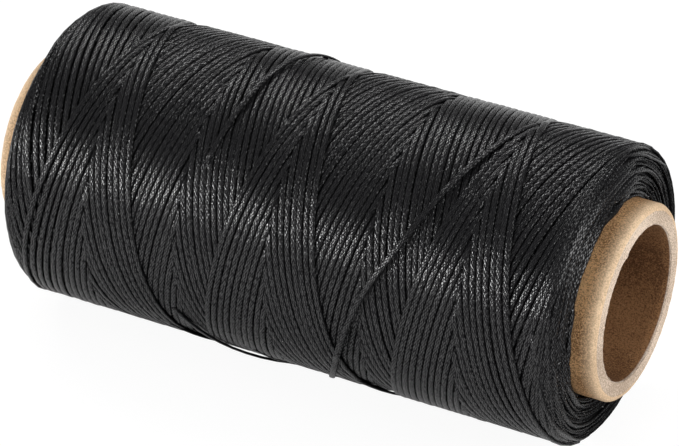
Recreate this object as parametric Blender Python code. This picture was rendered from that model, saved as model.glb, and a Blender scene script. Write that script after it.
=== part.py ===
"""Waxed thread spool: a cross-wound package of flat waxed thread on a paper tube.

The spool lies on its side. The tube's axis runs along +X and the floor is z = 0. The
end at +X is the one that the viewer of the photograph sees. Angles about the axis run
from +Y towards +Z.
"""
import math

import bmesh
import bpy
from mathutils import Vector
from mathutils.kdtree import KDTree

MM = 0.001
GAP = 0.3 * MM                   # clearance between pieces that touch

# Paper tube, wound from a liner, board plies and a face ply
TUBE_LENGTH = 120.5 * MM
TUBE_BORE_RADIUS = 14.35 * MM
LINER_THICKNESS = 0.55 * MM
BOARD_THICKNESS = 2.2 * MM
FACE_PLY_THICKNESS = 0.45 * MM
RIM_ROUNDING = 1.2 * MM          # outer corner of both tube ends
BORE_ROUNDING = 0.25 * MM        # inner corner of both tube ends

# Thread package
PACKAGE_RADIUS = 27.5 * MM
NEAR_MARGIN = 4.7 * MM           # bare tube at +X
FAR_MARGIN = 6.6 * MM            # bare tube at -X
NEAR_SHOULDER = 2.5 * MM         # rounding of the package's corner at +X
FAR_SHOULDER = 2.0 * MM

# Flat thread of the outer layer
THREAD_WIDTH = 1.24 * MM
THREAD_THICKNESS = 0.5 * MM
THREAD_GAP = 0.45 * MM           # air between two turns that cross
FLAT_DEPTH = THREAD_THICKNESS / 10

# Route of the outer layer, counted in steps of a turn
STEPS_PER_TURN = 24
STROKE_STEPS = 69                # 2 7/8 turns from one end of the package to the other
CYCLES = 4                       # there and back, so each starts a quarter turn on
NEAR_TURN_BACK = 1.8 * MM        # from the package's end to where the thread turns back
FAR_TURN_BACK = 1.6 * MM
TURN_BACK_STEPS = 4.0            # half the arc in which the thread turns back
CHANGE_STEPS = 2.0               # half the arc in which it changes its level
FIRST_STEP = 2                   # the layer starts this far past its first turn-back
TAIL_STEPS = 18
TAIL_LEAD = 64.0 * MM            # the loose end runs steeper than the turns
TAIL_START_ANGLE = math.radians(-22.5)
GAP_SAMPLES = 12                 # points between two steps when the gap is measured

ROUND_SEGMENTS = 48
SHOULDER_POINTS = 6
RIM_POINTS = 4

# The walls of the tube stand on each other, from the bore outwards
LINER_OUTSIDE = TUBE_BORE_RADIUS + LINER_THICKNESS
BOARD_INSIDE = LINER_OUTSIDE + GAP
BOARD_OUTSIDE = BOARD_INSIDE + BOARD_THICKNESS
FACE_PLY_INSIDE = BOARD_OUTSIDE + GAP
TUBE_OUTER_RADIUS = FACE_PLY_INSIDE + FACE_PLY_THICKNESS

STEP_ANGLE = math.tau / STEPS_PER_TURN
FACET_FACTOR = math.cos(STEP_ANGLE / 2)
NEAR_FACE = TUBE_LENGTH / 2 - NEAR_MARGIN
FAR_FACE = -TUBE_LENGTH / 2 + FAR_MARGIN

# The levels are depths of the thread's middle below the package's surface
LEVEL_STEP = THREAD_THICKNESS + THREAD_GAP
UPPER_LEVEL = THREAD_THICKNESS / 2
LOWER_LEVEL = UPPER_LEVEL + LEVEL_STEP
TAIL_LEVEL = UPPER_LEVEL - LEVEL_STEP

# The plain drum of inner layers lies one clearance under the flats of the lower turns
DRUM_RADIUS = ((PACKAGE_RADIUS - LOWER_LEVEL) * FACET_FACTOR
               - THREAD_THICKNESS / 2 - GAP)
DRUM_BORE_RADIUS = TUBE_OUTER_RADIUS + GAP
DRUM_DEPTH = PACKAGE_RADIUS - DRUM_RADIUS

AXIS_HEIGHT = ((PACKAGE_RADIUS - UPPER_LEVEL) * FACET_FACTOR
               + THREAD_THICKNESS / 2 - FLAT_DEPTH)


def clear_scene():
    for item in list(bpy.data.objects):
        bpy.data.objects.remove(item, do_unlink=True)


def material(name, colour, roughness):
    result = bpy.data.materials.new(name)
    result.use_nodes = True
    shader = result.node_tree.nodes["Principled BSDF"]
    shader.inputs["Base Color"].default_value = (*colour, 1.0)
    shader.inputs["Roughness"].default_value = roughness
    shader.inputs["Metallic"].default_value = 0.0
    return result


def add_object(name, mesh, surface, parent):
    item = bpy.data.objects.new(name, mesh)
    item.data.materials.append(surface)
    item.parent = parent
    bpy.context.collection.objects.link(item)
    return item


def on_axis(x, radius, angle):
    return Vector((x, radius * math.cos(angle), radius * math.sin(angle)))


def turned(name, profile, surface, parent):
    """Spin a closed outline of (x, radius) points once round the axis."""
    shape = bmesh.new()
    first_angle = STEP_ANGLE / 2
    corners = [shape.verts.new(on_axis(x, radius, first_angle)) for x, radius in profile]
    for start, end in zip(corners, corners[1:] + corners[:1]):
        shape.edges.new((start, end))
    bmesh.ops.spin(shape, geom=shape.verts[:] + shape.edges[:], cent=(0, 0, 0),
                   axis=(1, 0, 0), angle=math.tau, steps=ROUND_SEGMENTS)
    bmesh.ops.remove_doubles(shape, verts=shape.verts, dist=0.001 * MM)
    bmesh.ops.recalc_face_normals(shape, faces=shape.faces)
    mesh = bpy.data.meshes.new(name)
    shape.to_mesh(mesh)
    shape.free()
    mesh.shade_smooth()
    mesh.set_sharp_from_angle(angle=math.radians(40))
    return add_object(name, mesh, surface, parent)


def rounded_end(radius):
    """Half length of the tube at a radius, with both corners of its end rounded."""
    past_rim = max(0.0, radius - (TUBE_OUTER_RADIUS - RIM_ROUNDING))
    past_bore = max(0.0, TUBE_BORE_RADIUS + BORE_ROUNDING - radius)
    rim_drop = RIM_ROUNDING - math.sqrt(max(0.0, RIM_ROUNDING**2 - past_rim**2))
    bore_drop = BORE_ROUNDING - math.sqrt(max(0.0, BORE_ROUNDING**2 - past_bore**2))
    return TUBE_LENGTH / 2 - rim_drop - bore_drop


def ply(name, inner_radius, outer_radius, surface, parent):
    """One wall of the paper tube; its ends follow the tube's rounded corners."""
    thickness = outer_radius - inner_radius
    corner = TUBE_OUTER_RADIUS - RIM_ROUNDING
    radii = [inner_radius, outer_radius]
    if inner_radius < TUBE_BORE_RADIUS + BORE_ROUNDING < outer_radius:
        radii += [inner_radius + BORE_ROUNDING / 2, inner_radius + BORE_ROUNDING]
    if outer_radius > corner:
        curve_start = max(corner, inner_radius)
        reach = outer_radius - curve_start
        radii += [outer_radius - reach * (1 - math.sin(math.pi / 2 * index / RIM_POINTS))
                  for index in range(1, RIM_POINTS)]
        if curve_start - inner_radius > thickness / 10:
            radii.append(curve_start)
    end = [(rounded_end(radius), radius) for radius in sorted(radii)]
    profile = end + [(-x, radius) for x, radius in reversed(end)]
    return turned(name, profile, surface, parent)


def shoulder_drop(distance, rounding):
    """How far a rounded corner lies under the package's surface near an end face."""
    share = min(max(1 - distance / rounding, 0.0), 1.0)
    return rounding * (1 - math.sqrt(1 - share**2))


def surface_radius(x, depth):
    """Radius of the surface that lies a depth under the package's rounded outside."""
    return (PACKAGE_RADIUS - depth
            - shoulder_drop(NEAR_FACE - x, NEAR_SHOULDER)
            - shoulder_drop(x - FAR_FACE, FAR_SHOULDER))


def thread_drum(surface, parent):
    """The inner layers: a plain drum with rounded shoulders, bored for the tube."""
    turns = [math.pi / 2 * index / SHOULDER_POINTS for index in range(SHOULDER_POINTS + 1)]
    far_places = [FAR_FACE + FAR_SHOULDER * (1 - math.sin(turn)) for turn in turns]
    near_places = [NEAR_FACE - NEAR_SHOULDER * (1 - math.sin(turn)) for turn in turns]
    outside = [(x, surface_radius(x, DRUM_DEPTH))
               for x in far_places[::-1] + near_places]
    profile = ([(FAR_FACE, DRUM_BORE_RADIUS)] + outside
               + [(NEAR_FACE, DRUM_BORE_RADIUS)])
    return turned("thread_inner_layers", profile, surface, parent)


def turn_backs():
    """Each place where the thread turns back: step, end, slopes and levels round it."""
    trim = TURN_BACK_STEPS * STEP_ANGLE / 2
    near_end = NEAR_FACE - NEAR_TURN_BACK
    far_end = FAR_FACE + FAR_TURN_BACK
    slope = (near_end - far_end) / (STROKE_STEPS * STEP_ANGLE - 2 * trim)
    tail_slope = TAIL_LEAD / math.tau
    places = []
    for count in range(2 * CYCLES + 1):
        at_near_end = count % 2 == 0
        leaves_for_tail = count == 2 * CYCLES
        places.append({
            "step": count * STROKE_STEPS,
            "corner": near_end + trim * slope if at_near_end else far_end - trim * slope,
            "inward": -1 if at_near_end else 1,
            "slope_in": slope,
            "slope_out": tail_slope if leaves_for_tail else slope,
            "level_in": UPPER_LEVEL if at_near_end else LOWER_LEVEL,
            "level_out": (TAIL_LEVEL if leaves_for_tail
                          else LOWER_LEVEL if at_near_end else UPPER_LEVEL),
        })
    return places


def smooth_step(value):
    value = min(max(value, 0.0), 1.0)
    return value * value * (3 - 2 * value)


def thread_route():
    """Points along the middle of the outer layer's one thread, as (x, angle, depth).

    The thread runs to and fro along the package. Between two turn-backs it advances
    evenly, and near one it follows a parabola. The strokes towards -X lie on the lower
    level, those towards +X on the upper level, and the loose end lies over both.
    """
    places = turn_backs()
    last_step = places[-1]["step"] + TAIL_STEPS
    start_angle = TAIL_START_ANGLE - places[-1]["step"] * STEP_ANGLE
    route = []
    for step in range(FIRST_STEP, last_step + 1):
        place = places[min(round(step / STROKE_STEPS), len(places) - 1)]
        turn = (step - place["step"]) * STEP_ANGLE
        half_arc = TURN_BACK_STEPS * STEP_ANGLE
        slope_in, slope_out = place["slope_in"], place["slope_out"]
        if turn <= -half_arc:
            travel = -turn * slope_in
        elif turn >= half_arc:
            travel = turn * slope_out
        else:
            travel = (-turn * slope_in
                      + (slope_in + slope_out) * (turn + half_arc)**2 / (4 * half_arc))
        blend = smooth_step(0.5 + turn / (2 * CHANGE_STEPS * STEP_ANGLE))
        if step < STROKE_STEPS / 2:
            blend = 1.0
        depth = place["level_in"] + (place["level_out"] - place["level_in"]) * blend
        route.append((place["corner"] + place["inward"] * travel,
                      start_angle + step * STEP_ANGLE, depth))
    return route


def thread_section(width, thickness):
    """Six corners of the flat thread, across and out of the package's surface."""
    side, flank = width / 2, 0.3 * width
    return [(side, 0.0), (flank, thickness / 2), (-flank, thickness / 2),
            (-side, 0.0), (-flank, -thickness / 2), (flank, -thickness / 2)]


def surface_normal(x, angle, depth):
    """Direction out of the package's surface, which leans over at the shoulders."""
    reach = 0.05 * MM
    lean = (surface_radius(x + reach, depth) - surface_radius(x - reach, depth)) / (2 * reach)
    return Vector((-lean, math.cos(angle), math.sin(angle))).normalized()


def thread_rings():
    """One six-cornered ring for each point of the route."""
    route = thread_route()
    middles = [on_axis(x, surface_radius(x, depth), angle) for x, angle, depth in route]
    rings = []
    for index, (x, angle, depth) in enumerate(route):
        before = middles[max(index - 1, 0)]
        after = middles[min(index + 1, len(middles) - 1)]
        along = (after - before).normalized()
        across = along.cross(surface_normal(x, angle, depth)).normalized()
        outward = across.cross(along)
        rings.append([middles[index] + across * side + outward * rise
                      for side, rise in thread_section(THREAD_WIDTH, THREAD_THICKNESS)])
    return rings


def least_gap(rings):
    """Smallest distance from the thread's surface to a turn that crosses or passes it."""
    points = []
    for index, (ring, following) in enumerate(zip(rings, rings[1:])):
        for part in range(GAP_SAMPLES):
            share = part / GAP_SAMPLES
            corners = [a.lerp(b, share) for a, b in zip(ring, following)]
            sides = [a.lerp(b, 0.5) for a, b in zip(corners, corners[1:] + corners[:1])]
            points += [(index, point) for point in corners + sides]
    tree = KDTree(len(points))
    for number, (_, point) in enumerate(points):
        tree.insert(point, number)
    tree.balance()
    smallest = math.inf
    for index, point in points:
        for _, number, distance in tree.find_range(point, 3 * THREAD_GAP):
            if abs(points[number][0] - index) > STEPS_PER_TURN / 4:
                smallest = min(smallest, distance)
    return smallest


def thread_outer_turns(surface, parent):
    """The outer layer: one unbroken flat thread, cut flat where the spool rests."""
    rings = thread_rings()
    print(f"outer turns: {(len(rings) - 1) / STEPS_PER_TURN:.2f} loops, "
          f"least gap {least_gap(rings) / MM:.3f} mm")
    shape = bmesh.new()
    corners = [[shape.verts.new(point) for point in ring] for ring in rings]
    for ring, following in zip(corners, corners[1:]):
        for index in range(len(ring)):
            other = (index + 1) % len(ring)
            shape.faces.new((ring[index], ring[other], following[other], following[index]))
    shape.faces.new(corners[0])
    shape.faces.new(corners[-1])
    bmesh.ops.recalc_face_normals(shape, faces=shape.faces)
    mesh = bpy.data.meshes.new("thread_outer_turns")
    shape.to_mesh(mesh)
    shape.free()
    item = add_object("thread_outer_turns", mesh, surface, parent)
    cut = item.modifiers.new("resting flat", "BOOLEAN")
    cut.operation = "DIFFERENCE"
    cut.solver = "EXACT"
    cut.object = resting_cutter(parent)
    return item


def resting_cutter(parent):
    """Block whose top is the floor; it flattens the turns that the spool lies on."""
    shape = bmesh.new()
    bmesh.ops.create_cube(shape, size=1.0)
    height = PACKAGE_RADIUS
    bmesh.ops.scale(shape, vec=(TUBE_LENGTH, 2 * PACKAGE_RADIUS, height), verts=shape.verts)
    bmesh.ops.translate(shape, vec=(0, 0, -AXIS_HEIGHT - height / 2), verts=shape.verts)
    mesh = bpy.data.meshes.new("resting_cutter")
    shape.to_mesh(mesh)
    shape.free()
    cutter = bpy.data.objects.new("resting_cutter", mesh)
    cutter.parent = parent
    cutter.hide_render = True
    cutter.display_type = "WIRE"
    bpy.context.collection.objects.link(cutter)
    return cutter


def build():
    clear_scene()
    kraft = material("kraft_paper", (0.45, 0.29, 0.15), 0.85)
    board = material("grey_board", (0.52, 0.42, 0.34), 0.9)
    liner = material("brown_liner_paper", (0.24, 0.13, 0.06), 0.85)
    inner_thread = material("black_thread_inside", (0.012, 0.012, 0.013), 0.6)
    outer_thread = material("black_waxed_thread", (0.02, 0.02, 0.022), 0.45)

    axis = bpy.data.objects.new("spool_axis", None)
    axis.location = (0, 0, AXIS_HEIGHT)
    bpy.context.collection.objects.link(axis)

    ply("core_liner_ply", TUBE_BORE_RADIUS, LINER_OUTSIDE, liner, axis)
    ply("core_board_plies", BOARD_INSIDE, BOARD_OUTSIDE, board, axis)
    ply("core_face_ply", FACE_PLY_INSIDE, TUBE_OUTER_RADIUS, kraft, axis)
    thread_drum(inner_thread, axis)
    thread_outer_turns(outer_thread, axis)


build()
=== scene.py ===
# %% [markdown]
# # A spool of waxed thread, finished piece by piece
#
# The object is a paper tube with one very long flat thread wound across it. Its plain
# solids are already made and packed, and they are the fixed frame here. This lesson puts
# the real surfaces in their place: about 180 turns of thread that cross each other, the
# turned ends of the layers below, and the three papers of the tube.

# %% Load the fixed frame
import math

import bpy
import numpy as np
from mathutils import Matrix, Vector, noise


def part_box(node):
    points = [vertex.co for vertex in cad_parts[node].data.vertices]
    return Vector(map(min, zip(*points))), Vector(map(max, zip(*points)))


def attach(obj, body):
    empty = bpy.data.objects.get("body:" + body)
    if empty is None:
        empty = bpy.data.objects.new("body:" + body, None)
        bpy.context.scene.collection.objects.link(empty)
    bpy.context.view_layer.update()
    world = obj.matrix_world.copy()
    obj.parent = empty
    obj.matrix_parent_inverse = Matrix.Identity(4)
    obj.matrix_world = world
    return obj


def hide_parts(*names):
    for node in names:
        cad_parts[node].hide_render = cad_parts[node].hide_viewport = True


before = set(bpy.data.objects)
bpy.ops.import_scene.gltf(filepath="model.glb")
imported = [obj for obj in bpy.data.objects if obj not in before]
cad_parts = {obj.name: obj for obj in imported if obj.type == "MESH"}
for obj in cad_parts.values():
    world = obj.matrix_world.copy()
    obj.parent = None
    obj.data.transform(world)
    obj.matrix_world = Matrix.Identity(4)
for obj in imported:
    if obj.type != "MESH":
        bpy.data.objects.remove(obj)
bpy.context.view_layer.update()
bpy.ops.object.select_all(action="DESELECT")
print("nodes in the frame:", sorted(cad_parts))

# %% [markdown]
# Every size that the frame already holds is read from it, so the pieces fit without any
# moving about. The tube's axis runs along X. The radii of the three papers are the least
# and greatest distances of their corners from that axis.

# %% Read the sizes of the tube and the package
mm = 0.001
tube_low, tube_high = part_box("core_board_plies")
axis_height = (tube_low[2] + tube_high[2]) / 2
near_end = tube_high[0]


def radii(node):
    corners = np.array([vertex.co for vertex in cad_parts[node].data.vertices])
    distances = np.hypot(corners[:, 1], corners[:, 2] - axis_height)
    return float(distances.min()), float(distances.max())


bore_radius = radii("core_liner_ply")[0]
tube_radius = radii("core_face_ply")[1]
package_low, package_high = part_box("thread_inner_layers")

# The photograph's outline is this little longer than the plain solids.
cut_near, cut_far = near_end + 0.35 * mm, tube_low[0] - 0.6 * mm
near_face, far_face = package_high[0] + 0.4 * mm, package_low[0] - 0.55 * mm
print(f"bore {bore_radius / mm:.2f}, tube {tube_radius / mm:.2f}, "
      f"package from {far_face / mm:.1f} to {near_face / mm:.1f} mm")

# %% [markdown]
# ## The camera
#
# A product photograph like this is taken from a few spool lengths away with a long lens,
# so the far end is hardly smaller than the near one. The camera here is level, 32 degrees
# above the floor and 28 degrees round to the near end of the tube.

# %% Place the camera
photo_width = 679
focal_pixels = 3681
view_azimuth = math.radians(28.3)
view_elevation = math.radians(32.0)
near_end_in_view = Vector((52.07, -14.12, -647.27)) * mm

right = Vector((math.cos(view_azimuth), math.sin(view_azimuth), 0))
back = Vector((math.sin(view_azimuth) * math.cos(view_elevation),
               -math.cos(view_azimuth) * math.cos(view_elevation),
               math.sin(view_elevation)))
up = back.cross(right)
turn = Matrix((right, up, back)).transposed()
camera_data = bpy.data.cameras.new("camera")
camera_data.sensor_width = 36
camera_data.lens = focal_pixels / photo_width * camera_data.sensor_width
camera = bpy.data.objects.new("camera", camera_data)
bpy.context.collection.objects.link(camera)
camera.matrix_world = (Matrix.Translation(Vector((near_end, 0, axis_height))
                                          - turn @ near_end_in_view)
                       @ turn.to_4x4())
bpy.context.scene.camera = camera
bpy.context.scene.view_settings.view_transform = "Standard"
print("camera at", [round(value, 3) for value in camera.matrix_world.translation])

# %% [markdown]
# ## Floor and light
#
# Black thread shows its shape only by what it reflects. A long narrow lamp low in front
# gives the bright band along the middle of the package, a broader one high behind gives
# the fainter sheen above it, and a faint low card behind and the pale floor light the
# upper and lower edges. The fourth lamp faces the near end and lights the cut paper. The
# floor glows a little, and to the camera it and the world are white, which keeps the
# background pale without more light on the thread.

# %% Make the floor and the world
floor_radius = 2.0
floor_white = 0.86
floor_glow = 1.12
glow_share = 0.125                # the part of the floor's light that is glow
camera_share = 0.69               # the camera sees this much more of the glow
surroundings = 0.14               # the world's strength for all but the camera


def floor_material():
    result = bpy.data.materials.new("white_floor")
    result.use_nodes = True
    nodes, links = result.node_tree.nodes, result.node_tree.links
    nodes.clear()
    output = nodes.new("ShaderNodeOutputMaterial")
    blend = nodes.new("ShaderNodeMixShader")
    path = nodes.new("ShaderNodeLightPath")
    share = nodes.new("ShaderNodeMath")
    share.operation = "MULTIPLY_ADD"
    share.inputs[1].default_value = camera_share
    share.inputs[2].default_value = glow_share
    paint = nodes.new("ShaderNodeBsdfDiffuse")
    paint.inputs["Color"].default_value = (floor_white, floor_white, floor_white, 1)
    glow = nodes.new("ShaderNodeEmission")
    glow.inputs["Strength"].default_value = floor_glow
    links.new(path.outputs["Is Camera Ray"], share.inputs[0])
    links.new(share.outputs[0], blend.inputs[0])
    links.new(paint.outputs[0], blend.inputs[1])
    links.new(glow.outputs[0], blend.inputs[2])
    links.new(blend.outputs[0], output.inputs[0])
    return result


bpy.ops.mesh.primitive_circle_add(vertices=96, radius=floor_radius, fill_type="NGON",
                                  location=(0, 0, 0))
floor = bpy.context.object
floor.name = "floor"
floor.data.materials.append(floor_material())

world = bpy.data.worlds.new("white_room")
world.use_nodes = True
bpy.context.scene.world = world
world_nodes, world_links = world.node_tree.nodes, world.node_tree.links
background = world_nodes["Background"]
background.inputs["Color"].default_value = (1, 1, 1, 1)
world_path = world_nodes.new("ShaderNodeLightPath")
strength = world_nodes.new("ShaderNodeMix")
strength.inputs["A"].default_value = surroundings
strength.inputs["B"].default_value = 1.0
world_links.new(world_path.outputs["Is Camera Ray"], strength.inputs["Factor"])
world_links.new(strength.outputs["Result"], background.inputs["Strength"])
print(f"floor radius {floor_radius} m, surroundings at {surroundings}")

# %% Hang the lamps
spool_middle = Vector((0, 0, axis_height))


def lamp(name, place, width, height, power):
    data = bpy.data.lights.new(name, "AREA")
    data.shape = "RECTANGLE"
    data.size = width
    data.size_y = height
    data.energy = power
    item = bpy.data.objects.new(name, data)
    bpy.context.collection.objects.link(item)
    item.location = place
    item.rotation_euler = (spool_middle - Vector(place)).to_track_quat("-Z", "Y").to_euler()
    print(f"{name}: {width} by {height} m, {power} W")


lamp("front_strip", (-0.74, -0.92, 0.345), 1.3, 0.05, 11.8)
lamp("back_strip", (-0.44, 0.54, 0.88), 1.3, 0.14, 6.0)
lamp("back_card", (-0.44, 1.00, 0.08), 1.6, 0.25, 0.35)
lamp("near_end_box", (0.93, 0.0, 0.42), 0.9, 0.8, 8.2)

# %% [markdown]
# ## How the thread lies
#
# A winding machine turns the tube while a guide runs to and fro. The thread climbs one
# lead for each turn, nearly three turns from end to end, and each return trip starts 12
# degrees further back. After thirty trips the surface is closed and a new layer begins.
# Strokes to the left lie over older strokes to the right and the other way round, and the
# lines where they change places are the rows of V marks on such a spool.
#
# Modelling that by hand is out of the question, and a bump map would not give the stepped
# outline, so a formula gives the middle of the thread at each angle of the tube. All
# angles are degrees along the thread, counted backwards from the end of the last stroke.

# %% Describe the winding
crest_radius = 28.0 * mm          # outside of the newest turns at the near end
crest_taper = 0.35 * mm           # the package is this much fatter at the far end
thread_width = 1.2 * mm
thread_thickness = 0.5 * mm
lead = 37.5 * mm
slope = lead / 360                # travel along the tube for each degree
trips = 30                        # return trips that close the surface
trip_angle = 6 * 360 - 12         # degrees of thread in one return trip
stroke_angle = trip_angle / 2
near_corner = near_end - 3.6 * mm
far_corner = near_corner - stroke_angle * slope
line_spacing = (near_corner - far_corner) / 6
facing_angle = 144.6              # the side that faces the viewer, from +Y towards +Z
last_angle = facing_angle + 106.5  # where the last stroke ends
near_turn_arc = 62                # half the arc in which the thread turns back
far_turn_arc = 88
near_shoulder = 1.7 * mm
far_shoulder = 1.6 * mm
print(f"{trips * trip_angle / 360:.0f} turns, {line_spacing / mm:.2f} mm between lines")


def smooth(value):
    value = np.clip(value, 0, 1)
    return value * value * (3 - 2 * value)


def wander(angle, step, seed):
    """Smooth noise along the thread, about -1 to 1, with a new value every step."""
    count = int(np.ptp(angle) / step) + 3
    knots = np.random.default_rng(seed).uniform(-1, 1, count)
    place = (angle - angle.min()) / step
    index = place.astype(int)
    share = smooth(place - index)
    return knots[index] * (1 - share) + knots[index + 1] * share


# %% Give the package its rounded outline


def corner_drop(distance, rounding):
    """How far a rounded corner lies under the surface at a distance from the end face."""
    share = np.clip(1 - distance / rounding, 0, 0.985)
    return rounding * (1 - np.sqrt(1 - share**2))


def outline_radius(x, crown, near_stop, far_stop):
    """Radius of a package of a given crown that ends between two stops."""
    fatter = crest_taper * (near_face - x) / (near_face - far_face)
    return (crown + fatter - corner_drop(near_stop - x, near_shoulder)
            - corner_drop(x - far_stop, far_shoulder))


def outer_radius(x):
    return outline_radius(x, crest_radius, near_face, far_face)


print(f"radius 1 mm from the near face: {outer_radius(near_face - 1 * mm) / mm:.2f} mm")

# %% [markdown]
# The thread is a flat braid, over twice as wide as it is thick. A curve with a bevel
# would keep one width and one roll all the way, so the thread is built from a row of
# rings instead. Each ring has ten corners on an oval with squarish ends.

# %% Shape the thread's cross-section
ring_corners = 10
oval_power = 2.7
corner_angles = (np.arange(ring_corners) + 0.5) / ring_corners * 2 * math.pi
oval_scale = (np.abs(np.cos(corner_angles))**oval_power
              + np.abs(np.sin(corner_angles))**oval_power)**(-1 / oval_power)
oval_across = np.cos(corner_angles) * oval_scale
oval_outward = np.sin(corner_angles) * oval_scale
oval_steps = np.hypot(np.diff(oval_across, append=oval_across[0]) * thread_width,
                      np.diff(oval_outward, append=oval_outward[0]) * thread_thickness)
oval_share = np.concatenate([[0], np.cumsum(oval_steps)]) / oval_steps.sum()
oval_top = float(np.interp(math.pi / 2, corner_angles, oval_share[:-1]))
print(f"{ring_corners} corners, {oval_steps.sum() / 2 / mm:.2f} mm round")

# %% [markdown]
# A ring stands square to the thread and lies flat on the package, or tilts by its roll.
# The texture coordinates run in metres along the thread and once round it, so that the
# braid keeps its scale.

# %% Sweep a flat thread along a route
floor_rest = 0.02 * mm


def thread_rings(x, radius, angle, lean, width, thickness, roll):
    """Corner points of all rings, and the length along the thread at each ring."""
    radians = np.radians(angle)
    middle = np.stack([x, radius * np.cos(radians),
                       radius * np.sin(radians) + axis_height], 1)
    along = np.gradient(middle, axis=0)
    along /= np.linalg.norm(along, axis=1, keepdims=True)
    outward = np.stack([lean, np.cos(radians), np.sin(radians)], 1)
    across = np.cross(along, outward)
    across /= np.linalg.norm(across, axis=1, keepdims=True)
    outward = np.cross(across, along)
    tilt = np.radians(roll)[:, None]
    across, outward = (across * np.cos(tilt) + outward * np.sin(tilt),
                       outward * np.cos(tilt) - across * np.sin(tilt))
    rings = (middle[:, None, :]
             + across[:, None, :] * (width[:, None] / 2 * oval_across)[:, :, None]
             + outward[:, None, :] * (thickness[:, None] / 2 * oval_outward)[:, :, None])
    steps = np.linalg.norm(np.diff(middle, axis=0), axis=1)
    return rings, np.concatenate([[0], np.cumsum(steps)])


def thread_object(name, strands):
    """One mesh from a list of (rings, lengths); what would pass the floor rests on it."""
    points, faces, textures = [], [], []
    start = 0
    rng = np.random.default_rng(len(strands))
    for rings, lengths in strands:
        count = len(rings)
        points.append(rings.reshape(-1, 3))
        ring = np.arange(count - 1)[:, None] * ring_corners
        side = np.arange(ring_corners)[None, :]
        after = (side + 1) % ring_corners
        quads = np.stack([ring + side, ring + after, ring + ring_corners + after,
                          ring + ring_corners + side], 2) + start
        faces.extend(quads.reshape(-1, 4).tolist())
        lengths = lengths + rng.uniform(0, 1)
        along = np.stack([lengths[:-1], lengths[:-1], lengths[1:], lengths[1:]], 1)
        along = np.repeat(along[:, None, :], ring_corners, 1)
        around = np.stack([oval_share[:-1], oval_share[1:], oval_share[1:], oval_share[:-1]], 1)
        around = np.repeat(around[None], count - 1, 0)
        textures.append(np.stack([along, around], 3).reshape(-1, 2))
        first = list(range(start, start + ring_corners))
        last = [start + (count - 1) * ring_corners + index for index in range(ring_corners)]
        faces += [first[::-1], last]
        ends = np.zeros((2 * ring_corners, 2))
        ends[:, 0] = np.repeat(lengths[[0, -1]], ring_corners)
        textures.append(ends)
        start += count * ring_corners
    points = np.concatenate(points)
    points[:, 2] = np.maximum(points[:, 2], floor_rest)
    mesh = bpy.data.meshes.new(name)
    mesh.from_pydata(points.tolist(), [], faces)
    layer = mesh.uv_layers.new(name="thread")
    layer.data.foreach_set("uv", np.concatenate(textures).ravel())
    mesh.shade_smooth()
    item = bpy.data.objects.new(name, mesh)
    bpy.context.collection.objects.link(item)
    print(f"{name}: {len(strands)} strands, {len(faces)} faces")
    return item


# %% [markdown]
# ## The outer layer
#
# The depth of a turn under the crest has two parts. The older it is, the deeper it lies.
# On top of that each stroke sinks by one thickness between two lines of V marks, where it
# slides under newer strokes of the other direction, and comes up again at the next line.
# No two trips turn back at quite the same distance from the end, and where they crowd
# together before it, they lean on each other like shingles.

# %% Follow the guide there and back
line_window = 0.03                # share of the way between lines in which a turn dives
turn_back_reach = {"near": (0.85 * mm, 1.35 * mm), "far": (2.2 * mm, 3.2 * mm)}
crowded_tilt = 24                 # degrees by which crowded turns lean on each other


def sawtooth(value):
    """The part after the whole number, with its drop spread over a short window."""
    part = value - np.floor(value)
    near_line = np.where(part > 0.5, part - 1, part)
    drop = (1 - line_window) + (2 * line_window - 1) * smooth(
        (near_line + line_window) / (2 * line_window))
    return np.where(np.abs(near_line) < line_window, drop, part)


def rounded(distance, arc):
    """Travel from a corner when the thread turns back in an arc and not sharply."""
    return np.where(distance < arc, (distance**2 + arc**2) / (2 * arc), distance)


def trip_reach(index, end, seed):
    """Extra travel towards an end, different for each trip."""
    table = np.random.default_rng(seed).uniform(*turn_back_reach[end], trips + 2)
    return table[np.clip(-index.astype(int), 0, trips + 1)]


def layer_route(angle):
    """Place along the tube, depth, tilt and crowding of the thread, for angles up to 0."""
    into_trip = np.mod(angle, trip_angle)
    from_near = np.minimum(into_trip, trip_angle - into_trip)
    from_far = stroke_angle - from_near
    near_reach = (trip_reach(np.round(angle / trip_angle), "near", 11)
                  * smooth(1 - from_near / (2 * near_turn_arc)))
    far_reach = (trip_reach(np.floor(angle / trip_angle), "far", 12)
                 * smooth(1 - from_far / (1.5 * far_turn_arc)))
    x = np.where(from_near < from_far,
                 near_corner - slope * rounded(from_near, near_turn_arc) + near_reach,
                 far_corner + slope * rounded(from_far, far_turn_arc) - far_reach)
    past_near = np.where(into_trip > stroke_angle, into_trip - trip_angle, into_trip)
    past_far = into_trip - stroke_angle
    leftward = np.where(from_near < from_far,
                        smooth(0.5 + past_near / near_turn_arc),
                        1 - smooth(0.5 + past_far / far_turn_arc))
    between = sawtooth((x - far_corner) / line_spacing)
    weave = between * (1 - leftward) + (1 - between) * leftward
    age = -angle / trip_angle / trips
    crowding = (smooth(1 - from_near / near_turn_arc) + smooth(1 - from_far / far_turn_arc))
    shingle = crowded_tilt * crowding * (1 - 2 * leftward)
    return x, thread_thickness * (2 * age + weave + 0.5), shingle, crowding


newest, oldest = layer_route(np.array([0.0, -trips * trip_angle]))[1] / mm
print(f"the newest turn lies {newest:.2f} mm deep, the oldest {oldest:.2f} mm")

# %% [markdown]
# Rings stand every 8 degrees, and closer where a turn dives under or comes up. A little
# wander in place, width and roll keeps the turns from looking machined. Crowded turns
# are squeezed narrower and thicker.

# %% Lay the outer layer
ring_step = 8.0
dive_steps = np.array([-3.4, -1.2, 1.2, 3.4])  # rings beside a line, in degrees


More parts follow.
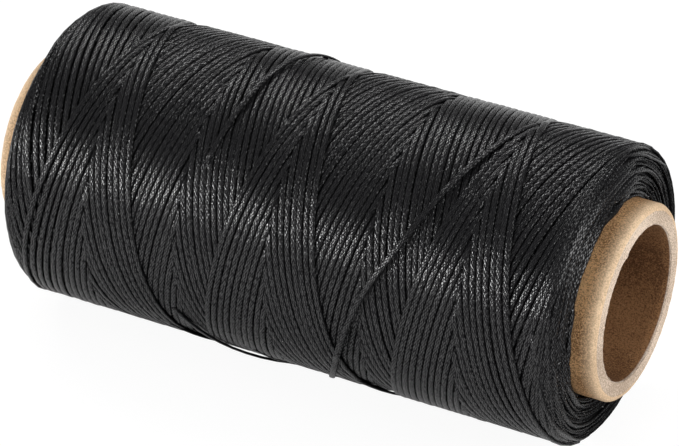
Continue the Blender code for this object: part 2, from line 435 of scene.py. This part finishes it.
def lean_of(x, outline):
    """Slope of an outline, which tips the thread towards the package's end."""
    reach = 0.05 * mm
    return -(outline(x + reach) - outline(x - reach)) / (2 * reach)


def outer_layer():
    angle = np.arange(-trips * trip_angle, 0.1, ring_step)
    line_angles = []
    for trip in range(trips):
        for line in range(1, 6):
            crossing = line * stroke_angle / 6
            line_angles += [-trip * trip_angle - crossing,
                            -(trip + 1) * trip_angle + crossing]
    extra = (np.array(line_angles)[:, None] + dive_steps).ravel()
    angle = np.unique(np.round(np.concatenate([angle, extra]), 1))
    angle = angle[np.concatenate([[True], np.diff(angle) > 0.9])]
    x, depth, shingle, crowding = layer_route(angle)
    x = x + (0.10 * wander(angle, 150, 1) + 0.06 * wander(angle, 37, 2)) * mm
    radius = (outer_radius(x) - depth + 0.05 * mm * wander(angle, 60, 3)
              + 0.12 * mm * crowding * wander(angle, 45, 8))
    width = thread_width * (1 + 0.07 * wander(angle, 90, 4) - 0.35 * crowding)
    thickness = thread_thickness * (1.1 + 0.12 * wander(angle, 70, 5) + 0.15 * crowding)
    roll = shingle + 5 * wander(angle, 110, 6) + 3 * wander(angle, 25, 7)
    return thread_rings(x, radius, angle + last_angle, lean_of(x, outer_radius),
                        width, thickness, roll)


thread_turns = thread_object("thread_outer_layer", [outer_layer()])

# %% [markdown]
# ## The drum and the turned ends
#
# Under the outer layer the package is solid thread. Nothing of it shows but the ends,
# where every layer turns back and leaves a fan of arcs, so a plain turned drum fills the
# inside and only the ends of twenty layers are laid as thread.

# %% Turn the drum
drum_depth = 1.7 * mm
drum_inset = 0.9 * mm             # its faces lie this far inside the turned ends
drum_steps = 96
tube_clearance = 0.1 * mm


def turned(name, profile, steps, smooth_angle):
    """Spin a closed outline of (x, radius) points once round the tube's axis."""
    bpy.ops.mesh.primitive_circle_add(vertices=len(profile), radius=tube_radius,
                                      location=(0, 0, 0))
    item = bpy.context.object
    item.name = name
    for vertex, (x, radius) in zip(item.data.vertices, profile):
        vertex.co = (x, 0, axis_height + radius)
    bpy.ops.object.mode_set(mode="EDIT")
    bpy.ops.mesh.select_all(action="SELECT")
    bpy.ops.mesh.spin(steps=steps, angle=2 * math.pi, center=(0, 0, axis_height),
                      axis=(1, 0, 0))
    bpy.ops.mesh.select_all(action="SELECT")
    bpy.ops.mesh.normals_make_consistent(inside=False)
    bpy.ops.object.mode_set(mode="OBJECT")
    bpy.ops.object.shade_smooth_by_angle(angle=math.radians(smooth_angle))
    print(f"{name}: {len(item.data.polygons)} faces")
    return item


def drum_profile():
    low, high = far_face + drum_inset, near_face - drum_inset
    far_places = low + far_shoulder * (1 - np.cos(np.linspace(0, math.pi / 2, 6)))
    near_places = high - near_shoulder * (1 - np.sin(np.linspace(0, math.pi / 2, 6)))
    x = np.concatenate([far_places, near_places])
    outside = outline_radius(x, crest_radius - drum_depth, high, low)
    inside = tube_radius + tube_clearance
    return [(low, inside)] + list(zip(x, outside)) + [(high, inside)]


thread_drum = turned("thread_drum", drum_profile(), drum_steps, 40)

# %% Lay the turned ends of the layers below
end_layers = 20
end_trips = 9
layer_height = 0.48 * mm
arc_reach = 64                    # degrees shown on each side of a turn-back
arc_step = 7.0
layer_stagger = 47                # degrees by which each layer is turned on the next


def end_turns(name, direction):
    near = direction > 0
    face = near_face if near else far_face
    arc = near_turn_arc if near else far_turn_arc
    strands = []
    rng = np.random.default_rng(20 if near else 21)
    for layer in range(1, end_layers + 1):
        crown = crest_radius - (layer + 1) * layer_height
        tuck = corner_drop(crest_radius - crown, near_shoulder if near else far_shoulder)
        stop = face - direction * tuck * 0.8
        stops = (stop, far_face) if near else (near_face, stop)

        def outline(x, crown=crown, stops=stops):
            return outline_radius(x, crown, *stops)

        apex = stop - direction * 0.5 * mm
        for trip in range(end_trips):
            offset = np.arange(-arc_reach, arc_reach + 0.1, arc_step)
            turn_angle = (last_angle + 360 / end_trips * (trip + rng.uniform(-0.4, 0.4))
                          + layer_stagger * layer)
            travel = slope * np.where(np.abs(offset) < arc, offset**2 / (2 * arc),
                                      np.abs(offset) - arc / 2)
            x = apex - direction * (travel + rng.uniform(-0.4, 0.5) * mm)
            x = x + 0.2 * mm * wander(offset, 20, 100 * layer + trip)
            sink = rng.uniform(0.0, 0.3) * mm
            radius = outline(x) - sink + 0.1 * mm * wander(offset, 20, 7 * layer + trip)
            shape = np.ones_like(offset)
            strands.append(thread_rings(
                x, radius, offset + turn_angle, 0.35 * lean_of(x, outline),
                shape * thread_width * rng.uniform(0.8, 1.05),
                shape * thread_thickness * rng.uniform(0.8, 1.1),
                rng.uniform(-12, 12) + 10 * wander(offset, 25, 9 * layer + trip)))
    return thread_object(name, strands)


near_turns = end_turns("thread_near_end", 1)
far_turns = end_turns("thread_far_end", -1)

# %% [markdown]
# ## The loose end and slack turns
#
# The last stretch of thread runs steeper than the turns and lies over them, which shows
# as one line across the pattern. A stray turn crosses further left, and four slack ones
# hang a little off the underside. Their points are read off the spool: a place along the
# tube counted from its near end in millimetres, an angle from the side that faces the
# viewer, and a height of the thread's middle over the newest turns.

# %% Lay the loose end, the stray turn and the slack turns
loose_end = [
    [(-7.2, -165, -0.9), (-14.5, -120, -0.8), (-22.6, -74, -0.7), (-25.1, -50, -0.4),
     (-26.7, -38, -0.1), (-29.8, -20, 0.2), (-33.3, -2, 0.25), (-35.2, 7, 0.25),
     (-39.5, 22, 0.25), (-42.9, 41, 0.3), (-46.2, 60, 0.45)],
    [(-43.0, 42, -0.5), (-44.6, 51, -0.1), (-46.0, 59, 0.05), (-49.6, 79, -0.05),
     (-51.6, 88, -0.3), (-54.0, 100, -0.6), (-58.0, 118, -0.7), (-61.0, 132, -0.8)],
]
stray_turn = [
    [(-66.5, -150, -0.8), (-68.8, -105, -0.5), (-69.6, -88, -0.2), (-70.5, -72, 0.0),
     (-71.9, -50, 0.1), (-73.0, -30, -0.1), (-75.0, -5, -0.8)],
]
slack_turns = [
    [(-90.0, 56, -0.9), (-86.0, 69, -0.7), (-82.0, 79, -0.5), (-78.0, 88, -0.45),
     (-75.0, 96, -0.6), (-72.0, 112, -0.9)],
    [(-80.0, 60, -0.9), (-76.0, 73, -0.4), (-72.0, 84, -0.05), (-68.0, 91, 0.27),
     (-64.5, 96, 0.42), (-61.5, 101, 0.1), (-59.0, 108, -0.4), (-57.0, 122, -0.8)],
    [(-71.0, 60, -0.9), (-67.5, 73, -0.7), (-64.0, 84, -0.5), (-61.0, 93, -0.35),
     (-58.5, 102, -0.5), (-56.0, 118, -0.9)],
    [(-52.0, 54, -0.9), (-48.0, 66, -0.7), (-44.5, 77, -0.5), (-41.0, 86, -0.45),
     (-38.0, 94, -0.6), (-35.0, 110, -0.9)],
]


def through(points, spacing):
    """A smooth curve through given points, as places, angles and heights."""
    keys = np.array(points, float)
    angle = np.arange(keys[0, 1], keys[-1, 1] + 0.1, spacing)
    reach = max(int(16 / spacing), 1)
    kernel = np.hanning(2 * reach + 3)[1:-1]
    kernel /= kernel.sum()
    curves = []
    for column in (0, 2):
        values = np.interp(angle, keys[:, 1], keys[:, column])
        before = values[0] + (values[1] - values[0]) * np.arange(-reach, 0)
        after = values[-1] + (values[-1] - values[-2]) * np.arange(1, reach + 1)
        padded = np.concatenate([before, values, after])
        curves.append(np.convolve(padded, kernel, "valid") * mm)
    return curves[0] + near_end, angle, curves[1]


def loose_strand(points, seed):
    x, angle, height = through(points, 4)
    flat = np.ones_like(x)
    return thread_rings(x, outer_radius(x) + height, angle + facing_angle,
                        lean_of(x, outer_radius), flat * thread_width * 0.95,
                        flat * thread_thickness, 7 * wander(angle, 40, seed))


def loose_thread(name, routes):
    strands = [loose_strand(points, 31 + index) for index, points in enumerate(routes)]
    return thread_object(name, strands)


thread_tail = loose_thread("thread_loose_end", loose_end)
thread_stray = loose_thread("thread_stray_turn", stray_turn)
thread_slack = loose_thread("thread_slack_turns", slack_turns)

# %% [markdown]
# ## The paper tube
#
# Such a tube is wound from strips of board between a dark liner and a tan face paper.
# Its cut ends show the pale board as a ring. The cut is rolled over at the outer corner,
# so every wall ends on one shared curve, and each wall is an outline spun round the axis.

# %% Turn the three walls of the tube
tube_steps = 320
half_tube = (cut_near - cut_far) / 2
tube_middle = (cut_near + cut_far) / 2
face_wall = 1.2 * mm              # as seen on the cut, where the paper is rolled over
liner_wall = 0.16 * mm
rim_rounding = 1.1 * mm
bore_rounding = 0.12 * mm
overlap = 0.02 * mm


def end_place(radius):
    """Distance of the tube's rounded ends from its middle, at a radius."""
    rim_drop = corner_drop(tube_radius - radius, rim_rounding)
    bore_drop = corner_drop(radius - bore_radius, bore_rounding)
    return half_tube - rim_drop - bore_drop


def wall_profile(inner, outer, shift, places):
    """Closed outline of a wall, with extra points close to both ends."""
    radius = np.linspace(inner, outer, places)
    end = end_place(radius) + shift
    sides = np.array([0.9, 0.97, 1.0]) * (half_tube - 2 * mm)
    inner_side = [(x, inner) for x in np.concatenate([-sides[::-1], sides])]
    outer_side = [(x, outer) for x in np.concatenate([sides[::-1], -sides])]
    outline = (inner_side + list(zip(end, radius)) + outer_side
               + list(zip(-end[::-1], radius[::-1])))
    return [(tube_middle + x, place) for x, place in outline]


board_inner = bore_radius + liner_wall
board_outer = tube_radius - face_wall
tube_face = turned("tube_face_paper",
                   wall_profile(board_outer - overlap, tube_radius, 0, 8), tube_steps, 60)
tube_board = turned("tube_board",
                    wall_profile(board_inner - overlap, board_outer + overlap, 0, 20),
                    tube_steps, 60)
tube_liner = turned("tube_liner",
                    wall_profile(bore_radius, board_inner, -0.12 * mm, 3), tube_steps, 60)

# %% [markdown]
# A saw leaves paper ragged. The vertices near the cut ends are pushed about by noise, and
# the corner at the bore most: it is torn at its low side and has a nick at its upper left.
# Nick and tear are bumps in a push that runs along the tube, each at its own angle.

# %% Roughen the cut ends
corner_marks = [                  # angle, half width in degrees, push in mm
    (275, 26, 0.30), (292, 5, 0.35), (259, 4, -0.35), (115, 3.5, -0.45), (121, 3, 0.25),
    (205, 9, 0.12), (232, 4, -0.15),
]


def roughen(item, amount, marked, scale):
    mesh = item.data
    for vertex in mesh.vertices:
        point = vertex.co
        from_middle = point.x - tube_middle
        at_end = float(smooth((abs(from_middle) - (half_tube - 1.9 * mm)) / (1.6 * mm)))
        if at_end == 0:
            continue
        angle = math.degrees(math.atan2(point.z - axis_height, point.y)) % 360
        radius = math.hypot(point.y, point.z - axis_height)
        at_bore = float(smooth(1 - (radius - bore_radius) / (0.9 * mm)))
        push = amount * (noise.noise(point * scale) + 0.6 * noise.noise(point * scale * 2.9))
        push += marked * at_bore * 0.16 * mm * noise.noise(point * 900)
        if point.x > 0:
            for place, half_width, height in corner_marks:
                push += (marked * at_bore * height * mm
                         * math.exp(-((angle - place) / half_width)**2)
                         * (0.6 + 0.4 * noise.noise(point * 2100)))
        point.x += math.copysign(at_end * push, from_middle)
        outward = at_end * amount * 0.5 * noise.noise(point * scale * 0.7)
        point.y *= 1 + outward / radius
        point.z += (point.z - axis_height) * outward / radius


roughen(tube_face, 0.10 * mm, 0, 380)
roughen(tube_board, 0.10 * mm, 1.0, 500)
roughen(tube_liner, 0.10 * mm, 1.0, 500)
print("cut ends roughened")

# %% [markdown]
# ## Wax flecks and painted glints, torn fibres and a crease
#
# Three kinds of small bits lie on the surfaces, and all are one ball that is squashed or
# drawn out, roughened, and copied. Hundreds of objects would be slow to handle, so each
# kind is joined into one mesh.

# %% Make one rough ball and copies of it


def seed_ball():
    bpy.ops.mesh.primitive_ico_sphere_add(subdivisions=1, radius=1.0, location=(0, 0, 0))
    ball = bpy.context.object
    corners = np.array([vertex.co for vertex in ball.data.vertices])
    sides = [tuple(face.vertices) for face in ball.data.polygons]
    bpy.data.objects.remove(ball, do_unlink=True)
    return corners, sides


ball_corners, ball_sides = seed_ball()
print(f"a ball of {len(ball_sides)} faces")


def scatter(name, bits, seed):
    """Join rough balls, each given as place, long direction, normal and three sizes."""
    rng = np.random.default_rng(seed)
    points, faces = [], []
    for place, along, normal, sizes in bits:
        along = np.array(along) / np.linalg.norm(along)
        across = np.cross(normal, along)
        across /= np.linalg.norm(across)
        upward = np.cross(along, across)
        shape = ball_corners * (1 + 0.3 * rng.uniform(-1, 1, (len(ball_corners), 1)))
        shape = (shape * sizes) @ np.stack([along, across, upward]) + place
        faces += [tuple(corner + len(points) for corner in side) for side in ball_sides]
        points += shape.tolist()
    mesh = bpy.data.meshes.new(name)
    mesh.from_pydata(points, [], faces)
    item = bpy.data.objects.new(name, mesh)
    bpy.context.collection.objects.link(item)
    print(f"{name}: {len(bits)} bits")
    return item


def round_place(x, radius, angle):
    return np.array([x, radius * math.cos(angle), axis_height + radius * math.sin(angle)])


# %% [markdown]
# White flecks sit on the turned ends near the tube, and a few on the sides. They are
# painted glints, partly flecks of cold wax that come off where the thread bends hardest.

# %% Strew the flecks of wax and painted glints
fleck_count_end = 260
fleck_count_side = 90


def fleck_bits():
    rng = np.random.default_rng(77)
    bits = []
    while len(bits) < fleck_count_end + fleck_count_side:
        angle = rng.uniform(0, 2 * math.pi)
        outward = np.array([0, math.cos(angle), math.sin(angle)])
        if len(bits) < fleck_count_end:
            radius = tube_radius + (0.3 + rng.exponential(1.6)) * mm
            place = round_place(near_face - rng.uniform(-0.1, 0.4) * mm, radius, angle)
            normal = np.array([1, 0, 0]) + 0.3 * outward
        else:
            x = rng.uniform(far_face + 4 * mm, near_face - 3 * mm)
            place = round_place(x, outer_radius(x) - rng.uniform(0, 0.5) * mm, angle)
            normal = outward
        if place[2] < 2 * mm or radius > crest_radius - 3 * mm:
            continue
        size = rng.uniform(0.03, 0.085) * mm
        along = rng.normal(size=3)
        bits.append((place, along, normal, (size * rng.uniform(1, 2), size, size * 0.5)))
    return bits


# Pale flecks paint glints on the thread, partly real flecks of wax.
flecks = scatter("wax_and_glint_flecks", fleck_bits(), 7)

# %% [markdown]
# Paper fibres stand up round the bore, most of them along its torn corner, and a short
# crease runs across the tube's side at its upper left.

# %% Raise the fibres and the crease
fibre_count = 170
torn_angle = 276                  # degrees; the middle of the torn corner


def fibre_bits():
    rng = np.random.default_rng(78)
    bits = []
    for index in range(fibre_count):
        if index % 2:
            angle = math.radians(rng.normal(torn_angle, 16))
        else:
            angle = rng.uniform(0, 2 * math.pi)
        place = round_place(cut_near + rng.uniform(-0.1, 0.12) * mm,
                            bore_radius + rng.uniform(-0.12, 0.25) * mm, angle)
        sideways = np.array([0, -math.sin(angle), math.cos(angle)])
        inward = -np.array([0, math.cos(angle), math.sin(angle)])
        along = sideways + rng.normal(0, 0.6) * inward + np.array([rng.normal(0, 0.4), 0, 0])
        length = rng.uniform(0.12, 0.5) * mm
        bits.append((place, along, (1, 0, 0), (length, 0.035 * mm, 0.025 * mm)))
    return bits


crease_points = [(-3.9, 128.0), (-3.2, 128.0), (-2.4, 128.6), (-1.8, 129.2), (-1.2, 127.0)]


def crease_bits():
    bits = []
    for (x, angle), (next_x, next_angle) in zip(crease_points, crease_points[1:]):
        start = round_place(near_end + x * mm, tube_radius, math.radians(angle))
        end = round_place(near_end + next_x * mm, tube_radius, math.radians(next_angle))
        middle = (start + end) / 2
        normal = middle - (middle[0], 0, axis_height)
        length = np.linalg.norm(end - start) * 0.62
        bits.append((middle, end - start, normal, (length, 0.06 * mm, 0.05 * mm)))
    return bits


fibres = scatter("torn_fibres", fibre_bits(), 8)
crease = scatter("paper_crease", crease_bits(), 9)

# %% [markdown]
# ## Finishes
#
# Every finish here is a pattern worked out by nodes, not a picture, so it stays sharp at
# any distance. The nodes are set in code, and a few helpers keep that short: one adds a
# node, one does a sum, one cuts a pattern off below a level, and one mixes two colours.
# The others start a group or a material, and turn a pattern into a bump.

# %% Make helpers that add nodes


def add_node(tree, kind, values=(), **settings):
    node = tree.nodes.new(kind)
    for key, value in settings.items():
        setattr(node, key, value)
    for key, value in values:
        node.inputs[key].default_value = value
    return node


def calculate(tree, operation, *values):
    node = add_node(tree, "ShaderNodeMath", operation=operation)
    for socket, value in zip(node.inputs, values):
        if isinstance(value, (int, float)):
            socket.default_value = value
        else:
            tree.links.new(value, socket)
    return node.outputs[0]


def above(tree, value, level, gain):
    """0 below a level, then rising to 1."""
    over = calculate(tree, "MULTIPLY", calculate(tree, "SUBTRACT", value, level), gain)
    return calculate(tree, "MINIMUM", calculate(tree, "MAXIMUM", over, 0.0), 1.0)


def colour_mix(tree, factor, first, second):
    node = add_node(tree, "ShaderNodeMix", data_type="RGBA")
    tree.links.new(factor, node.inputs["Factor"])
    for key, value in (("A", first), ("B", second)):
        socket = [item for item in node.inputs if item.name == key and item.type == "RGBA"][0]
        if isinstance(value, tuple):
            socket.default_value = (*value, 1)
        else:
            tree.links.new(value, socket)
    return [item for item in node.outputs if item.type == "RGBA"][0]


# %% Make helpers that start groups and materials


def new_group(name, inputs, outputs):
    group = bpy.data.node_groups.new(name, "ShaderNodeTree")
    for label, value in inputs:
        socket = group.interface.new_socket(label, in_out="INPUT",
                                            socket_type="NodeSocketFloat")
        socket.default_value = value
    for label in outputs:
        group.interface.new_socket(label, in_out="OUTPUT", socket_type="NodeSocketFloat")
    start = group.nodes.new("NodeGroupInput")
    end = group.nodes.new("NodeGroupOutput")
    print(f"group {name}: {len(inputs)} values in, {len(outputs)} patterns out")
    return group, start.outputs, end.inputs


def new_material(name, roughness, specular):
    result = bpy.data.materials.new(name)
    result.use_nodes = True
    shader = result.node_tree.nodes["Principled BSDF"]
    shader.inputs["Roughness"].default_value = roughness
    shader.inputs["Specular IOR Level"].default_value = specular
    print("material", name)
    return result, result.node_tree, shader


def bumped(tree, height, distance):
    """The surface's direction with a pattern raised by up to a distance."""
    bump = add_node(tree, "ShaderNodeBump", [("Strength", 1.0), ("Distance", distance)])
    tree.links.new(height, bump.inputs["Height"])
    return bump.outputs[0]


# %% [markdown]
# ### The braid
#
# The strands of a flat braid cross each other and show as rows of small lobes, which the
# difference of two cosines gives: one along the thread, one round it. Fibres roughen
# them. The group also marks the thread's edges as a groove, where the material paints
# shade between the strands, partly dirty wax in them. It also gives a slow shade of the
# thread's own black along it, where it took up more or less wax. It reads the thread's
# own texture coordinates, so the braid follows every turn.

# %% Plait the strands
strands_per_metre = 1000
strand_columns = 7


def braid_group():
    group, given, result = new_group(
        "braid", [("Strands Per Metre", strands_per_metre), ("Columns", strand_columns)],
        ["Height", "Sheen", "Groove Shade And Dirt", "Shade"])
    place = add_node(group, "ShaderNodeUVMap", uv_map="thread")
    parts = group.nodes.new("ShaderNodeSeparateXYZ")
    group.links.new(place.outputs[0], parts.inputs[0])
    metres, across = parts.outputs[0], parts.outputs[1]
    along = calculate(group, "MULTIPLY", metres, given["Strands Per Metre"])
    around = calculate(group, "MULTIPLY", across, given["Columns"])
    waves = [calculate(group, "COSINE", calculate(group, "MULTIPLY", turn, 2 * math.pi))
             for turn in (along, around)]
    lobes = calculate(group, "ABSOLUTE", calculate(group, "SUBTRACT", *waves))
    plaits = calculate(group, "POWER", calculate(group, "MULTIPLY", lobes, 0.5), 0.6)
    spread = group.nodes.new("ShaderNodeCombineXYZ")
    group.links.new(along, spread.inputs[0])
    group.links.new(calculate(group, "MULTIPLY", around, 1.7), spread.inputs[1])
    grain = add_node(group, "ShaderNodeTexNoise", [("Scale", 1.1), ("Detail", 1.0)])
    group.links.new(spread.outputs[0], grain.inputs["Vector"])
    height = calculate(group, "MULTIPLY_ADD", plaits, 0.4, grain.outputs[0])
    from_top = calculate(group, "ABSOLUTE", calculate(group, "SUBTRACT", across, oval_top))
    long_way = group.nodes.new("ShaderNodeCombineXYZ")
    group.links.new(calculate(group, "MULTIPLY", metres, 12.0), long_way.inputs[0])
    shade = add_node(group, "ShaderNodeTexNoise", [("Scale", 1.0), ("Detail", 2.0)])
    group.links.new(long_way.outputs[0], shade.inputs["Vector"])
    group.links.new(height, result["Height"])
    group.links.new(above(group, height, 0.64, 4.5), result["Sheen"])
    # Groove: the thread's sides, which the material darkens as painted shade between strands.
    group.links.new(above(group, from_top, 0.12, 10.0), result["Groove Shade And Dirt"])
    group.links.new(shade.outputs[0], result["Shade"])
    return group


braid = braid_group()

# %% [markdown]
# ### Black waxed thread
#
# The fibres are nearly black, and what shines is the wax on them. So the strength of the
# reflection follows the braid: it is high on the lobes, low between the strands and in
# the grooves, and highest at a flat angle. In the grooves the colour also turns to the
# dull black. There the low reflection and the dull black are painted shade between the
# strands, partly dirty wax in them. The slow shade makes some stretches smoother and
# blacker. An exported model mostly keeps one mean strength in place of the pattern.

# %% Mix the black waxed thread
dull_black = (0.006, 0.006, 0.0065)
worn_black = (0.015, 0.0145, 0.016)


def thread_material():
    result, tree, shader = new_material("black_waxed_thread", 0.38, 0.5)
    weave = add_node(tree, "ShaderNodeGroup", node_tree=braid)
    weave.inputs["Strands Per Metre"].default_value = strands_per_metre
    weave.inputs["Columns"].default_value = strand_columns
    black = colour_mix(tree, weave.outputs["Shade"], dull_black, worn_black)
    # Painted shade: the grooves between strands take the dull black, partly for dirty wax.
    tree.links.new(colour_mix(tree, weave.outputs["Groove Shade And Dirt"], black, dull_black),
                   shader.inputs["Base Color"])
    # The reflection drops in the grooves as well, the same painted shade.
    open_side = calculate(tree, "MULTIPLY_ADD", weave.outputs["Groove Shade And Dirt"], -0.85, 1.0)
    sheen = calculate(tree, "MULTIPLY_ADD", weave.outputs["Sheen"], 0.85, 0.06)
    facing = add_node(tree, "ShaderNodeLayerWeight", [("Blend", 0.5)])
    edge = calculate(tree, "MULTIPLY_ADD", above(tree, facing.outputs["Facing"], 0.6, 2.5),
                     1.4, 1.0)
    wax = calculate(tree, "MULTIPLY", calculate(tree, "MULTIPLY", sheen, edge), open_side)
    tree.links.new(wax, shader.inputs["Specular IOR Level"])
    rough = add_node(tree, "ShaderNodeMapRange", [("To Min", 0.14), ("To Max", 0.32)])
    tree.links.new(weave.outputs["Shade"], rough.inputs["Value"])
    tree.links.new(rough.outputs[0], shader.inputs["Roughness"])
    tree.links.new(bumped(tree, weave.outputs["Height"], 0.08 * mm),
                   shader.inputs["Normal"])
    return result


waxed_thread = thread_material()

# %% [markdown]
# ### The three papers
#
# Face paper, board and liner are all pulp and differ in colour. One group makes their fine
# grain, short fibres and slow blotches from noise, and each material puts its own colours
# on them. The face paper is painted paler close to the cut, a painted highlight on its
# rolled rim, and the liner turns pale at its cut lip.

# %% Press the pulp
grain_scale = 3400                # patches per metre, about
blotch_scale = 90


def paper_group():
    group, given, result = new_group(
        "paper_fibres", [("Grain Scale", grain_scale), ("Blotch Scale", blotch_scale)],
        ["Grain", "Fibres", "Blotches"])
    place = group.nodes.new("ShaderNodeTexCoord")
    grain = add_node(group, "ShaderNodeTexNoise", [("Detail", 3.0), ("Roughness", 0.7)])
    fibre = add_node(group, "ShaderNodeTexNoise", [("Detail", 2.0), ("Distortion", 2.2)])
    blotch = add_node(group, "ShaderNodeTexNoise", [("Detail", 3.0)])
    coarser = calculate(group, "MULTIPLY", given["Grain Scale"], 0.3)
    for node, scale in ((grain, given["Grain Scale"]), (fibre, coarser),
                        (blotch, given["Blotch Scale"])):
        group.links.new(place.outputs["Object"], node.inputs["Vector"])
        group.links.new(scale, node.inputs["Scale"])
    group.links.new(grain.outputs[0], result["Grain"])
    group.links.new(above(group, fibre.outputs[0], 0.6, 7.0), result["Fibres"])
    group.links.new(blotch.outputs[0], result["Blotches"])
    return group


paper_fibres = paper_group()

# %% Mix the three papers


def paper_material(name, dark, light, fibre, roughness, pale_cut_and_highlight=None, reach=3.0 * mm):
    result, tree, shader = new_material(name, roughness, 0.25)
    paper = add_node(tree, "ShaderNodeGroup", node_tree=paper_fibres)
    paper.inputs["Grain Scale"].default_value = grain_scale
    paper.inputs["Blotch Scale"].default_value = blotch_scale
    # Paler near the cut: a painted highlight on the face paper's rim, the liner's pale cut lip.
    if pale_cut_and_highlight:
        place = tree.nodes.new("ShaderNodeTexCoord")
        parts = tree.nodes.new("ShaderNodeSeparateXYZ")
        tree.links.new(place.outputs["Object"], parts.inputs[0])
        from_middle = calculate(tree, "ABSOLUTE", calculate(
            tree, "SUBTRACT", parts.outputs[0], tube_middle))
        toward_cut = above(tree, from_middle, half_tube - reach, 1.3 / reach)
        dark = colour_mix(tree, calculate(tree, "MULTIPLY", toward_cut, 0.55), dark, pale_cut_and_highlight)
        light = colour_mix(tree, calculate(tree, "MULTIPLY", toward_cut, 0.9), light, pale_cut_and_highlight)
    mixed = calculate(tree, "MULTIPLY_ADD", paper.outputs["Blotches"], 0.4,
                      paper.outputs["Grain"])
    ground = colour_mix(tree, above(tree, mixed, 0.59, 4.6), dark, light)
    drawn = calculate(tree, "MULTIPLY", paper.outputs["Fibres"], 0.45)
    tree.links.new(colour_mix(tree, drawn, ground, fibre), shader.inputs["Base Color"])
    tree.links.new(bumped(tree, paper.outputs["Grain"], 0.1 * mm), shader.inputs["Normal"])
    return result


# The face paper's paler band near the cut is a painted highlight on its rolled rim.
face_paper = paper_material("tan_face_paper", (0.21, 0.095, 0.033), (0.86, 0.515, 0.25),
                            (0.66, 0.44, 0.25), 0.85, pale_cut_and_highlight=(0.88, 0.66, 0.44))
pale_board = paper_material("pale_board", (0.40, 0.30, 0.22), (0.85, 0.69, 0.55),
                            (0.30, 0.22, 0.16), 0.9)
liner_paper = paper_material("brown_liner", (0.12, 0.052, 0.02), (0.36, 0.185, 0.081),
                             (0.52, 0.30, 0.15), 0.85, pale_cut_and_highlight=(0.90, 0.78, 0.66),
                             reach=0.35 * mm)

# %% [markdown]
# ### Dry wax and painted glints
#
# Wax that comes off is chalky, and patches of it are grey with what it picked up. The
# pale end of its colour also paints glints on the flecks.

# %% Mix the dry wax


def wax_and_glint_material():
    result, tree, shader = new_material("dry_wax_and_glints", 0.4, 0.5)
    place = tree.nodes.new("ShaderNodeTexCoord")
    patch = add_node(tree, "ShaderNodeTexNoise", [("Scale", 2500.0)])
    tree.links.new(place.outputs["Object"], patch.inputs["Vector"])
    # Grey patches are picked-up dirt; the pale end also paints glints.
    tree.links.new(colour_mix(tree, patch.outputs[0], (0.12, 0.12, 0.125), (0.6, 0.6, 0.6)),
                   shader.inputs["Base Color"])
    return result


dry_wax_and_glints = wax_and_glint_material()

# %% [markdown]
# ## Putting it together
#
# Nothing on the spool moves by itself, so every piece rides on the one body. A piece that
# stands for a plain solid replaces it, and the rest lie over or beside those pieces.

# %% Dress the pieces and tie them to the frame
dressing = [
    (thread_turns, waxed_thread, "thread", ("thread_outer_turns",)),
    (thread_drum, waxed_thread, "thread", ("thread_inner_layers",)),
    (near_turns, waxed_thread, "thread", ()),
    (far_turns, waxed_thread, "thread", ()),
    (thread_tail, waxed_thread, "thread", ()),
    (thread_stray, waxed_thread, "thread", ()),
    (thread_slack, waxed_thread, "thread", ()),
    (flecks, dry_wax_and_glints, "thread", ()),
    (tube_face, face_paper, "face_paper", ("core_face_ply",)),
    (crease, liner_paper, "face_paper", ()),
    (tube_board, pale_board, "tube_board", ("core_board_plies",)),
    (fibres, pale_board, "tube_board", ()),
    (tube_liner, liner_paper, "liner_paper", ("core_liner_ply",)),
]
for piece, finish, slot, nodes in dressing:
    piece.data.materials.clear()
    piece.data.materials.append(finish)
    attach(piece, "root")
    if nodes:
        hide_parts(*nodes)
print("pieces dressed:", len(dressing))
